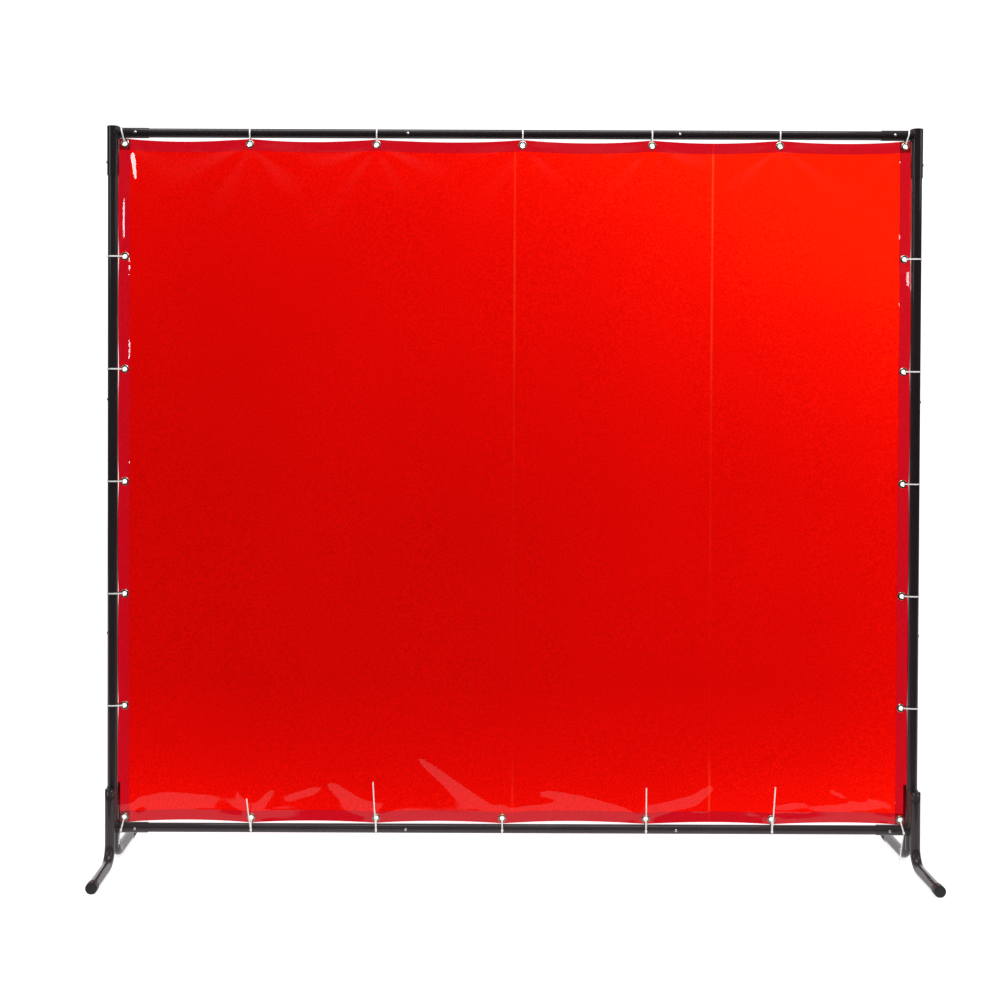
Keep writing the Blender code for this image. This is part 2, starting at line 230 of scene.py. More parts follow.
def ramp(tree, source, stops):
    """Maps a factor to colours or greys through (position, colour) stops."""
    node = tree.nodes.new("ShaderNodeValToRGB")
    while len(node.color_ramp.elements) < len(stops):
        node.color_ramp.elements.new(0.5)
    for element, (position, value) in zip(node.color_ramp.elements, stops):
        element.position = position
        element.color = (*value, 1.0) if isinstance(value, tuple) else (value, value, value, 1.0)
    tree.links.new(source, node.inputs["Fac"])
    return node.outputs["Color"]


def bump(tree, shader, height, depth):
    """Feeds a height into the shader's normal; depth is in metres."""
    node = tree.nodes.new("ShaderNodeBump")
    node.inputs["Strength"].default_value = 1.0
    node.inputs["Distance"].default_value = depth
    tree.links.new(height, node.inputs["Height"])
    tree.links.new(node.outputs["Normal"], shader.inputs["Normal"])


print("node helpers ready")

# %% [markdown]
# Five finishes follow one pattern, so one helper makes them all. The powder coat is a glossy warm black
# with a fine orange peel, and the moulded plastic is duller and blacker. Springs and buttons are zinc
# plated. The eyelets are brass under thin nickel, so the brass warms them in places. Nylon lets a little
# light into itself, which subsurface scattering shows.

# %% Coat, plastic, plated metals and nylon
def textured(name, colours, roughness, grain=None, **sockets):
    """A finish whose colour and roughness each follow a noise: (scale, detail, stops)."""
    made, tree, shader = finish_named(name, **sockets)
    for socket, (scale, detail, stops) in (("Base Color", colours), ("Roughness", roughness)):
        tree.links.new(ramp(tree, noise(tree, scale, detail), stops), shader.inputs[socket])
    if grain:
        scale, depth = grain
        bump(tree, shader, noise(tree, scale, 2), depth)
    return made


coat = textured(
    "gloss_black_powder_coat",
    (6, 3, [(0.3, (0.048, 0.035, 0.038)), (0.7, (0.058, 0.044, 0.048))]),
    (18, 6, [(0.35, 0.15), (0.7, 0.26)]),
    (420, 0.00003),
    IOR=1.5,
    Specular_IOR_Level=0.25,
    Coat_Weight=0.4,
    Coat_Roughness=0.06,
)
plastic = textured(
    "moulded_black_plastic",
    (40, 3, [(0.3, (0.012, 0.012, 0.012)), (0.7, (0.022, 0.021, 0.021))]),
    (90, 4, [(0.3, 0.38), (0.7, 0.52)]),
    (1500, 0.00002),
    IOR=1.49,
)
zinc = textured(
    "zinc_plated_steel",
    (300, 3, [(0.3, (0.52, 0.52, 0.50)), (0.7, (0.66, 0.66, 0.65))]),
    (700, 4, [(0.3, 0.18), (0.7, 0.34)]),
    Metallic=1.0,
)
metal = textured(
    "nickel_plated_brass",
    (130, 3, [(0.42, (0.40, 0.39, 0.36)), (0.62, (0.38, 0.30, 0.17))]),
    (500, 4, [(0.3, 0.16), (0.7, 0.32)]),
    Metallic=1.0,
)
white_nylon = textured(
    "natural_nylon",
    (60, 3, [(0.3, (0.82, 0.82, 0.79)), (0.7, (0.90, 0.90, 0.87))]),
    (400, 3, [(0.3, 0.30), (0.7, 0.42)]),
    IOR=1.53,
    Subsurface_Weight=0.3,
    Subsurface_Radius=(0.0015, 0.0015, 0.0012),
    Subsurface_Scale=1.0,
)
print("finishes:", ", ".join(m.name for m in (coat, plastic, zinc, metal, white_nylon)))

# %% [markdown]
# ## The snap buttons
#
# A snap button is a small domed pin riveted to a hairpin of spring steel inside the tube. Each one moves on
# its own joint. The frame's own mesh shows where the head is: its points that lie furthest out along the
# way it presses.

# %% Find the buttons
HEAD_DEPTH = 0.0017


def head_of(joint):
    """The middle of a button's tip, and the direction it faces."""
    node = joint["child"]
    outward = -Vector(joint["axis"])
    points = [v.co for v in frame["nodes"][node].data.vertices]
    tip = max(p.dot(outward) for p in points)
    head = [p for p in points if p.dot(outward) > tip - HEAD_DEPTH]
    centre = sum(head, Vector()) / len(head)
    return centre + outward * (tip - centre.dot(outward)), outward


BUTTON_RADIUS = 0.0038
BUTTON_STANDS = 0.0025
HOLE_RADIUS = 0.0043
buttons = {joint["child"]: head_of(joint) for joint in frame["joints"]}
for name, (tip, outward) in buttons.items():
    print(f"{name}: tip at {tuple(round(c, 4) for c in tip)}")

# %% [markdown]
# A spring, a bent tube, a bead of weld and a cable tie are each one section carried along a path. A curve
# with a bevel would do it too, but a loop of our own says which way is out at every step, so a flat strip
# never twists.

# %% Sweep a section along a path
def swept(path, section, up, closed=False, sizes=None):
    """Carries an outline of (across, out) points along a path; up(point, tangent) says which way is out."""
    bm = bmesh.new()
    path = [Vector(p) for p in path]
    count = len(path)
    rings = []
    for i, point in enumerate(path):
        ahead = path[(i + 1) % count] if closed else path[min(i + 1, count - 1)]
        behind = path[i - 1] if closed else path[max(i - 1, 0)]
        tangent = (ahead - behind).normalized()
        out = Vector(up(point, tangent))
        out = (out - tangent * out.dot(tangent)).normalized()
        across = tangent.cross(out)
        size = sizes[i] if sizes else 1.0
        rings.append([bm.verts.new(point + (across * a + out * b) * size) for a, b in section])
    pairs = list(zip(rings, rings[1:]))
    if closed:
        pairs.append((rings[-1], rings[0]))
    for one, two in pairs:
        for j in range(len(section)):
            k = (j + 1) % len(section)
            bm.faces.new((one[j], one[k], two[k], two[j]))
    if not closed:
        bm.faces.new(rings[0])
        bm.faces.new(rings[-1])
    bmesh.ops.recalc_face_normals(bm, faces=bm.faces)
    return bm


def strap_section(width, thickness, round_off=0.3):
    """A rectangle with its corners taken off."""
    w = width / 2
    t = thickness / 2
    c = thickness * round_off
    half = [(w - c, t), (-w + c, t), (-w, t - c), (-w, -t + c)]
    return half + [(-a, -b) for a, b in half]


def ring_section(radius, sides=8):
    turns = np.linspace(0, math.tau, sides, endpoint=False)
    return [(radius * math.cos(a), radius * math.sin(a)) for a in turns]


print("sweep ready")

# %% [markdown]
# The button's head is turned on the lathe, with a rounded tip. Its spring is a strip of steel inside the
# tube: a hairpin where one button locks a joint, and a straight leg at the ends of the posts, where one
# bent spring pushes two buttons apart. The springs are out of sight, but a button without one would be a
# loose pin.

# %% Make the buttons and their springs
SPRING_WIDTH = 0.007
SPRING_THICKNESS = 0.0008
SPRING_GAP = 0.0004
LEAF_BACK = -0.005
LEG_END = 0.028
HAIRPIN_REACH = 0.014
CROWN = 0.0016


def leaf_height(bore):
    """How far from the tube's axis the middle of the strip lies, just clear of the bore."""
    return math.sqrt(bore**2 - (SPRING_WIDTH / 2) ** 2) - SPRING_GAP - SPRING_THICKNESS / 2


def spring_path(kind, leaf, stroke):
    """(along, out) points of the strip. The hairpin's far leg sits clear of the button's stroke."""
    if kind == "post_end":
        return [(LEAF_BACK, leaf), (LEG_END, leaf)]
    radius = leaf - stroke / 2
    turn = [math.pi * step / 12 for step in range(13)]
    bend = [(HAIRPIN_REACH + radius * math.sin(a), leaf - radius + radius * math.cos(a)) for a in turn]
    return [(LEAF_BACK, leaf)] + bend + [(0.0, leaf - 2 * radius)]


def make_button(name, tip, outward):
    """A button with its spring, inside a spigot at a joint and inside the plain tube elsewhere."""
    rail_bore = rail_radius - TUBE_WALL
    post_bore = post_radius - TUBE_WALL
    spigot_wall = SLIP_GAP + TUBE_WALL
    kind = "hairpin"
    if "rail_joint" in name:
        along, bore, reach = Vector((-1, 0, 0)), rail_bore - spigot_wall, rail_radius
    elif "corner" in name:
        along, bore, reach = Vector((-math.copysign(1, tip.x), 0, 0)), rail_bore, stub_radius
    elif "post_joint" in name:
        along, bore, reach = Vector((0, 0, 1)), post_bore - spigot_wall, post_radius
    else:
        kind = "post_end"
        along, bore, reach = Vector((0, 0, -1 if "top" in name else 1)), post_bore, sleeve_radius
    leaf = leaf_height(bore)
    top = reach + BUTTON_STANDS
    axis_point = tip - outward * top
    dome = [(BUTTON_RADIUS * math.sin(a), top - CROWN + CROWN * math.cos(a)) for a in np.linspace(0, 1.5, 9)]
    dome[0] = (0.0, top)
    profile = dome + [(BUTTON_RADIUS, top - 0.0020), (BUTTON_RADIUS, leaf), (0.0, leaf)]
    head = lathe(profile, 32, pointing(outward, axis_point))
    stroke = top - bore - TUBE_WALL
    path = [axis_point + along * a + outward * b for a, b in spring_path(kind, leaf, stroke)]
    side = along.cross(outward)
    section = strap_section(SPRING_WIDTH, SPRING_THICKNESS)
    strip = swept(path, section, lambda point, tangent: side.cross(tangent))
    piece(name + "_steel", joined([head, strip]), zinc, name, name)


for name, (tip, outward) in buttons.items():
    make_button(name, tip, outward)
for name in frame["nodes"]:
    if name.startswith("spring_bend"):
        frame["nodes"][name].data.materials[0] = zinc
print(len(buttons), "buttons made")

# %% [markdown]
# ## Rails and posts
#
# Each rail and post is three lengths of tube. One end of a length is swaged down to a spigot that slides
# into its neighbour. The sawn rims are not knife edges: the coating rounds them, and that thin round
# catches the light and draws the line of each joint. So the outline that the lathe spins has a small
# chamfer at every rim.

# %% Tube sections
RIM = 0.0004
DRILL_REACH = 0.03


def tube_outline(radius, length, spigot):
    """Once round a tube's wall, from the joint face at height 0 up to the far end."""
    bore = radius - TUBE_WALL
    far = [(bore, length), (radius - RIM, length), (radius, length - RIM)]
    if not spigot:
        return [(radius, RIM + SLIP_GAP), (radius - RIM, SLIP_GAP), (bore, SLIP_GAP)] + far
    thin = bore - SLIP_GAP
    inner = thin - TUBE_WALL
    shoulder = [(radius, RIM), (radius - RIM, 0), (thin, 0)]
    tip = [(thin, RIM - SPIGOT_LENGTH), (thin - RIM, -SPIGOT_LENGTH), (inner, -SPIGOT_LENGTH)]
    return shoulder + tip + [(inner, 0.006), (bore, 0.012)] + far


def drilled(made, places):
    """Drills a button hole at each (point on the axis, outward direction)."""
    drills = []
    for point, outward in places:
        rod = [(0, 0), (HOLE_RADIUS, 0), (HOLE_RADIUS, DRILL_REACH), (0, DRILL_REACH)]
        drills.append(lathe(rod, 32, pointing(outward, point)))
    cut(made, drills)


print("tube helpers ready")

# %% [markdown]
# Rails and posts differ only in the axis they lie along, so the same outline and drill serve both. A
# button's hole goes through the sleeve and the tube inside it, so each piece asks which tips lie along its
# length.

# %% Rails and posts
def holes_in(starts, axis, centre, low=-math.inf, high=math.inf):
    """(point on the tube's axis, outward direction) of the buttons so named, from low to high."""
    found = []
    for name, (tip, outward) in buttons.items():
        if name.startswith(starts) and low < tip[axis] < high:
            point = Vector(centre)
            point[axis] = tip[axis]
            found.append((point, outward))
    return found


def tube_piece(node, radius, length, matrix, spigot, holes):
    """One length of tube, drilled for its buttons."""
    outline = tube_outline(radius, length, spigot)
    made = piece(node + "_tube", lathe(outline, ROUND, matrix), coat, FRAME, node)
    drilled(made, holes)
    print(node, "made with", len(holes), "holes")


EDGE = 0.001
for level in LEVELS:
    starts = (f"button_{level}_corner", f"button_{level}_rail")
    for section in ("left", "middle", "right"):
        node = f"{level}_rail_{section}"
        low, high = span(node, 0)
        spigot = section != "right"
        face = high - SPIGOT_LENGTH if spigot else high
        matrix = pointing((-1, 0, 0), (face, 0, rail_z[level]))
        holes = holes_in(starts, 0, (0, 0, rail_z[level]), low - EDGE, high + EDGE)
        tube_piece(node, rail_radius, face - low, matrix, spigot, holes)
for where in SIDES:
    starts = (f"button_post_joint_{where}", f"button_top_{where}_", f"button_foot_{where}_")
    for section in ("lower", "middle", "upper"):
        node = f"post_{where}_{section}"
        low, high = span(node, 2)
        spigot = section != "lower"
        face = low + SPIGOT_LENGTH if spigot else low - SLIP_GAP
        matrix = pointing((0, 0, 1), (post_x[where], 0, face))
        holes = holes_in(starts, 2, (post_x[where], 0, 0), low, high)
        tube_piece(node, post_radius, high - face, matrix, spigot, holes)

# %% [markdown]
# ## Sleeves, stubs and welds
#
# At each corner a short sleeve fits over the post, and a stub welded to its side takes the rail. The two
# tubes are joined with a Boolean, as they would be coped and fitted at the bench, and then both are bored.
# The weld is a bead of its own, swept along the saddle-shaped line where the stub meets the sleeve, with
# the small ripples that a welder's hand leaves. It lies under the same coat as the tubes.

# %% Welded corners
STUB_BORE = rail_radius + 0.00035
STUB_REACH = 0.095
STUB_FLOOR = 0.018
SLEEVE_BORE = post_radius + 0.0005
OVERCUT = 0.01
BEAD_PROUD = 0.0006
BEAD_RADIUS = 0.0021


def rounded_rod(radius, low, high):
    """A solid rod with softened ends, as (radius, height) points."""
    foot = [(0, low), (radius - RIM, low), (radius, low + RIM)]
    return foot + [(radius, high - RIM), (radius - RIM, high), (0, high)]


def saddle_bead(side, x, z):
    """The bead round the stub, on the line where it meets the sleeve."""
    path = []
    sizes = []
    for step in range(96):
        a = math.tau * step / 96
        y = (stub_radius + BEAD_PROUD) * math.cos(a)
        up = (stub_radius + BEAD_PROUD) * math.sin(a)
        inward = math.sqrt(max(sleeve_radius**2 - y**2, 0)) + BEAD_PROUD
        path.append((x - side * inward, y, z + up))
        sizes.append(1.0 + 0.14 * math.sin(a * 30) + 0.08 * math.sin(a * 7 + x * 9 + z))
    centre = Vector((x, 0, z))
    section = ring_section(BEAD_RADIUS)
    return swept(path, section, lambda point, tangent: point - centre, closed=True, sizes=sizes)


def welded_corner(node, where, stub_z, low, high, bottom, level):
    """A sleeve from low to high, bored upwards from bottom, with the stub that takes the rail."""
    side = SIDES[where]
    x = post_x[where]
    stub_matrix = pointing((-side, 0, 0), (x, 0, stub_z))
    upright = Matrix.Translation((x, 0, 0))
    rod = lathe(rounded_rod(sleeve_radius, low, high), ROUND, upright)
    sleeve = piece(node + "_sleeve", rod, coat, FRAME, node)
    cut(sleeve, [lathe(rounded_rod(stub_radius, 0, STUB_REACH), ROUND, stub_matrix)], "UNION")
    up = high + OVERCUT
    far = STUB_REACH + 1.5 * OVERCUT
    post_bore = [(0, bottom), (SLEEVE_BORE, bottom), (SLEEVE_BORE, up), (0, up)]
    rail_bore = [(0, STUB_FLOOR), (STUB_BORE, STUB_FLOOR), (STUB_BORE, far), (0, far)]
    cut(sleeve, [lathe(post_bore, ROUND, upright), lathe(rail_bore, ROUND, stub_matrix)])
    holes = holes_in(f"button_{level}_corner_{where}", 0, (0, 0, stub_z))
    holes += holes_in((f"button_top_{where}_", f"button_foot_{where}_"), 2, (x, 0, 0), low, high)
    drilled(sleeve, holes)
    piece(node + "_weld", saddle_bead(side, x, stub_z), coat, FRAME, None)
    print(node, "made with", len(holes), "holes")


SOCKET_FLOOR = 0.003
sleeve_top = {}
for where in SIDES:
    low, high = span(f"top_corner_{where}", 2)
    sleeve_top[where] = high
    welded_corner(f"top_corner_{where}", where, rail_z["top"], low, high, low - OVERCUT, "top")
    low, high = span(f"foot_socket_{where}", 2)
    welded_corner(f"foot_socket_{where}", where, rail_z["bottom"], low, high, low + SOCKET_FLOOR, "bottom")

# %% [markdown]
# ## Legs, plugs and end caps
#
# Each foot is two lengths of tube, bent through a quarter turn and welded in front of and behind the
# socket. A bent tube keeps its round section all the way, which is what a sweep gives. The wall comes from
# a Solidify modifier.

# %% Bent legs
LEG_WALL = 0.0015
BEND_RADIUS = 0.050


def leg_path(x, forward, top, stand, far, axis_z):
    """Down beside the socket, round the bend and out along the floor."""
    points = [(x, forward * stand, z) for z in np.linspace(top, axis_z + BEND_RADIUS, 6)]
    for a in np.linspace(0, math.pi / 2, 25)[1:]:
        y = stand + BEND_RADIUS * (1 - math.cos(a))
        points.append((x, forward * y, axis_z + BEND_RADIUS * (1 - math.sin(a))))
    points += [(x, forward * y, axis_z) for y in np.linspace(stand + BEND_RADIUS, far, 8)[1:]]
    return points


def open_ends(bm):
    """Takes off the two end faces of a swept tube."""
    ends = [face for face in bm.faces if len(face.verts) > 4]
    bmesh.ops.delete(bm, geom=ends, context="FACES_ONLY")
    return bm


for where in SIDES:
    for depth, forward in DEPTHS.items():
        node = f"leg_{depth}_{where}"
        low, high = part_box(node)
        stand = abs(middle(f"leg_plug_{depth}_{where}").y)
        far = max(abs(low[1]), abs(high[1]))
        path = leg_path(post_x[where], forward, high[2], stand, far, low[2] + leg_radius)
        tube = open_ends(swept(path, ring_section(leg_radius, ROUND), lambda point, tangent: (1, 0, 0)))
        leg = piece(node + "_tube", tube, coat, FRAME, node)
        wall = leg.modifiers.new("wall", "SOLIDIFY")
        wall.thickness = LEG_WALL
        wall.offset = -1
print("four legs bent")

# %% [markdown]
# Two short runs of weld on either side hold each leg to its socket. A run is thinner at its ends, and it
# ripples, so a list of sizes along the path shapes the swept bead.

# %% Weld beads between legs and sockets
LEG_BEADS = ((0.066, 0.112), (0.150, 0.198))
LEG_BEAD_RADIUS = 0.0026
BESIDE = 0.0042
tapered = [math.sin(math.pi * (i + 1.5) / 32) ** 0.3 for i in range(30)]
rippled = [taper * (1 + 0.12 * math.sin(i * 2.1)) for i, taper in enumerate(tapered)]
for where in SIDES:
    for depth, forward in DEPTHS.items():
        beads = []
        touch = forward * (sleeve_radius + 0.0002)
        for hand in (-1, 1):
            for low, high in LEG_BEADS:
                path = [(post_x[where] + hand * BESIDE, touch, z) for z in np.linspace(low, high, 30)]
                section = ring_section(LEG_BEAD_RADIUS)
                beads.append(swept(path, section, lambda point, tangent: (1, 0, 0), sizes=rippled))
        piece(f"leg_weld_{depth}_{where}", joined(beads), coat, FRAME, None)
print("leg welds laid")

# %% [markdown]
# Moulded plugs close the upper ends of the legs and the sleeves. Each is a low dome on a short stem, so the
# lathe makes it.

# %% Plugs
def plug_outline(head, stem):
    """A push-in plug with a low dome."""
    dome = [(head * math.sin(a) ** 0.9, 0.0007 + 0.0018 * math.cos(a)) for a in np.linspace(0, 1.5, 10)]
    dome[0] = (0.0, 0.0025)
    stem_end = [(stem, -0.0074), (stem - 0.0006, -0.008), (0, -0.008)]
    return dome + [(head, 0.0006), (head, 0.0), (stem, 0.0)] + stem_end


for where in SIDES:
    node = f"top_corner_cap_{where}"
    place = Matrix.Translation((post_x[where], 0, sleeve_top[where] + SLIP_GAP))
    outline = plug_outline(sleeve_radius, SLEEVE_BORE - SLIP_GAP)
    piece(node + "_plug", lathe(outline, ROUND, place), plastic, FRAME, node)
    for depth in DEPTHS:
        node = f"leg_plug_{depth}_{where}"
        top = span(f"leg_{depth}_{where}", 2)[1]
        spot = middle(node)
        place = Matrix.Translation((spot.x, spot.y, top + SLIP_GAP))
        outline = plug_outline(leg_radius, leg_radius - LEG_WALL - SLIP_GAP)
        piece(node + "_plug", lathe(outline, ROUND, place), plastic, FRAME, node)

# %% [markdown]
# The caps at the floor slip over the legs. They are turned shapes too. Each one is then cut level with the
# floor that it stands on, by a Boolean with a large box.

# %% End caps
CAP_LENGTH = 0.024
CAP_FLOOR = 0.002
CAP_RIM = 0.0006
ROUND_OFF = 0.0022
quarter_turn = np.linspace(0, 1.57, 7)
for where in SIDES:
    for depth, forward in DEPTHS.items():
        node = f"leg_cap_{depth}_{where}"
        low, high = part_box(node)
        radius = width_of(node, 0) / 2
        end_y = max(abs(low[1]), abs(high[1]))
        axis_z = span(f"leg_{depth}_{where}", 2)[0] + leg_radius
        bore = leg_radius + SLIP_GAP
        rim = [(radius - ROUND_OFF * (1 - math.sin(a)), -ROUND_OFF * (1 - math.cos(a))) for a in quarter_turn]
        skirt = [(radius, CAP_RIM - CAP_LENGTH), (radius - CAP_RIM, -CAP_LENGTH), (bore, -CAP_LENGTH)]
        outline = [(0.0, 0.0)] + rim + skirt + [(bore, -CAP_FLOOR), (0.0, -CAP_FLOOR)]
        matrix = pointing((0, forward, 0), (post_x[where], forward * end_y, axis_z))
        cap = piece(node + "_moulding", lathe(outline, ROUND, matrix), plastic, FRAME, node)
        sole = bmesh.new()
        under = Matrix.Translation((post_x[where], forward * end_y, -0.05))
        bmesh.ops.create_cube(sole, size=1, matrix=under @ Matrix.Diagonal((0.1, 0.1, 0.1, 1)))
        cut(cap, [sole])
print("plugs and caps made")

# %% [markdown]
# ## The curtain
#
# The curtain is half a millimetre of tinted vinyl, folded back and welded into a hem all round. It hangs
# from its eyelets: between them the edges pull back in shallow scallops, and soft folds fan out from where
# each eyelet takes the load. Stiff sheet like this keeps large, quiet shapes, so the surface is written as
# a sum of them on one fine grid: broad billows, fans at the eyelets and a few buckles.

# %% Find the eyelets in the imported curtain
curtain_low, curtain_high = (Vector(corner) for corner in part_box("curtain"))
CURTAIN_Y = (curtain_low.y + curtain_high.y) / 2
SHEET = 0.0005
HEM = 0.030
HEM_CELLS = 4
SIDE_X = 1.037
TOP_Z = 1.925
PITCH_Z = 0.2995
TOP_X = (-0.705, -0.368, 0.020, 0.364, 0.704)
BOTTOM_X = (-0.698, -0.364, -0.027, 0.357, 0.693)
rows_z = [TOP_Z - PITCH_Z * row for row in range(7)]
BOTTOM_Z = rows_z[-1]
eyelets = [(side * SIDE_X, z) for side in (-1, 1) for z in rows_z]
eyelets += [(x, TOP_Z) for x in TOP_X]
eyelets += [(x, BOTTOM_Z) for x in BOTTOM_X]
HOLE = 0.0058
packed = np.array([v.co for v in frame["nodes"]["curtain"].data.vertices])
for x, z in eyelets:
    nearest = np.hypot(packed[:, 0] - x, packed[:, 2] - z).min()
    if abs(nearest - HOLE) > 0.0005:
        raise SystemExit(f"no hole in the frame's curtain at {x}, {z}")
print(len(eyelets), "eyelets found in the frame's curtain")

# %% [markdown]
# A grid of points carries the sheet, with S across and T up. Its lines lie closer together near the hem,
# where the shape changes fastest. At each eyelet one point is pulled onto the eyelet's middle, and the
# eight round it are moved onto a small circle, which becomes the edge of the punched hole.

# %% A grid that puts a corner point on every eyelet
wide = curtain_high.x
flat_width = 2 * wide
flat_height = curtain_high.z - curtain_low.z


def grid_lines(low, high, first, pitch=0.010, close=0.005):
    """Lines from edge to edge: close together near the hem, with the third one through the eyelets."""
    hem = [0.0, first / 2, first, (first + HEM) / 2, HEM]
    edge = hem + [HEM + close * step for step in range(1, 9)]
    count = round((high - low - 2 * edge[-1]) / pitch)
    inner = np.linspace(low + edge[-1], high - edge[-1], count + 1)[1:-1]
    return np.array([low + d for d in edge] + list(inner) + [high - d for d in edge[::-1]])


s_lines = grid_lines(-wide, wide, wide - SIDE_X)
t_lines = grid_lines(curtain_low.z, curtain_high.z, curtain_high.z - TOP_Z)
COLUMNS = len(s_lines) - 1
ROWS = len(t_lines) - 1
S, T = np.meshgrid(s_lines, t_lines, indexing="ij")
EYELET_BITE = 0.0078
PULL_REACH = 0.06
flat_s = S.copy()
flat_t = T.copy()
inside_sides = abs(flat_s) < wide - HEM + 1e-6
inside_ends = (flat_t > curtain_low.z + HEM - 1e-6) * (flat_t < curtain_high.z - HEM + 1e-6)
centres = []
for x, z in eyelets:
    i = int(np.argmin(abs(flat_s[:, 0] - x)))
    j = int(np.argmin(abs(flat_t[0, :] - z)))
    centres.append((i, j))
    reach = np.hypot(flat_s - flat_s[i, j], flat_t - flat_t[i, j])
    ease = np.where(reach < PULL_REACH, 0.5 + 0.5 * np.cos(np.pi * reach / PULL_REACH), 0.0)
    S += (x - flat_s[i, j]) * ease * inside_sides
    T += (z - flat_t[i, j]) * ease * inside_ends
for (i, j), (x, z) in zip(centres, eyelets):
    for di in (-1, 0, 1):
        for dj in (-1, 0, 1):
            if di or dj:
                turn = math.atan2(dj, di)
                S[i + di, j + dj] = x + EYELET_BITE * math.cos(turn)
                T[i + di, j + dj] = z + EYELET_BITE * math.sin(turn)
print("grid of", S.size, "points")

# %% [markdown]
# Three kinds of shape make up the hung sheet: scallops between the eyelets, fans of folds that spread from
# an eyelet, and soft elongated ridges. Each is a short function that returns a height for every point of
# the grid.

# %% Scallops, fans and ridges
def between(values, stations):
    """0 at every eyelet and 1 midway between two, for the scallops."""
    out = np.zeros_like(values)
    for a, b in zip(stations, stations[1:]):
        u = np.clip((values - a) / (b - a), 0, 1)
        out += 4 * u * (1 - u)
    return out


def fan(x, z, height, reach, folds, turn):
    """Folds that spread from an eyelet and die away with distance."""
    dx = S - x
    dz = T - z
    r = np.hypot(dx, dz)
    angle = np.arctan2(dx, dz)
    clear_of_rim = 1 - np.exp(-((r / 0.045) ** 2))
    return height * np.exp(-r / reach) * clear_of_rim * np.cos(folds * angle + turn)


def ridge(x, z, lean, length, width, height):
    """A soft elongated swelling, such as a buckle between two eyelets."""
    c = math.cos(lean)
    s = math.sin(lean)
    along = (S - x) * c + (T - z) * s
    over = -(S - x) * s + (T - z) * c
    return height * np.exp(-((along / length) ** 4) - (over / width) ** 2)


print("fold helpers ready")

# %% [markdown]
# The edges are drawn in first. Then the heights are summed, in metres towards the rear: broad billows,
# which die away at the sides where the posts hold the sheet straight, shorter waves near each edge, and a
# fan at every eyelet. A billow of 7 mm is hard to see as a shape, yet it decides what the glossy sheet
# reflects.

# %% Draw the edges in and let the sheet billow
top_row = [-SIDE_X, *TOP_X, SIDE_X]
bottom_row = [-SIDE_X, *BOTTOM_X, SIDE_X]
from_top = np.clip(curtain_high.z - T, 0, None)
from_bottom = np.clip(T - curtain_low.z, 0, None)
scallop_top = between(S, top_row)
scallop_bottom = between(S, bottom_row)
scallop_side = between(T, sorted(rows_z))
sheet_x = S + np.sign(S) * 0.0026 * scallop_side * np.exp(-(wide - abs(S)) / 0.08)
drawn_down = 0.0075 * scallop_top * np.exp(-from_top / 0.12)
drawn_up = 0.0060 * scallop_bottom * np.exp(-from_bottom / 0.09)
sheet_z = T - drawn_down + drawn_up

belly = np.sin(np.pi * from_bottom / flat_height)
billow = 0.007 * np.sin(1.9 * S + 0.7) * belly
billow += 0.004 * np.sin(4.6 * S - 0.9 + 0.8 * T) * belly**0.7
billow *= np.tanh((wide - abs(S)) / 0.15)
billow += 0.0014 * np.sin(9.0 * S + 1.3 + 1.9 * T) * np.exp(-from_top / 0.7)
billow += 0.0009 * np.sin(13.0 * S - 2.3 * T)
billow += 0.0035 * scallop_top * np.exp(-from_top / 0.10) * np.sin(5.1 * S + 0.4)
billow += 0.0022 * scallop_bottom * np.exp(-from_bottom / 0.05) * np.sin(6.3 * S + 1.1)
billow += 0.0022 * scallop_side * np.exp(-(wide - abs(S)) / 0.06) * np.sin(7.0 * T + S)
for index, x in enumerate(top_row):
    strength = 0.0012 if abs(x) > 1 else 0.0034
    billow += fan(x, TOP_Z, strength, 0.16, 7 + index % 3, 1.3 * index)
for index, x in enumerate(bottom_row):
    billow += fan(x, BOTTOM_Z, 0.0009, 0.10, 6 + index % 2, 0.9 * index + 0.4)
for index, z in enumerate(rows_z[1:-1]):
    billow += fan(-SIDE_X, z, 0.0010, 0.09, 6, 1.7 * index)
    billow += fan(SIDE_X, z, 0.0016, 0.09, 6, 2.3 * index + 1.0)
print("edges drawn in, folds fanned out")

# %% [markdown]
# Last come the buckles. Most stand above the bottom hem, where the sheet has the most slack, and a few
# beside the side eyelets. Each bulges forwards and tips the sheet towards the white floor or a strip light,
# so it shows as one pale reflection. An eyelet grips the sheet, so every height is eased to nothing there.

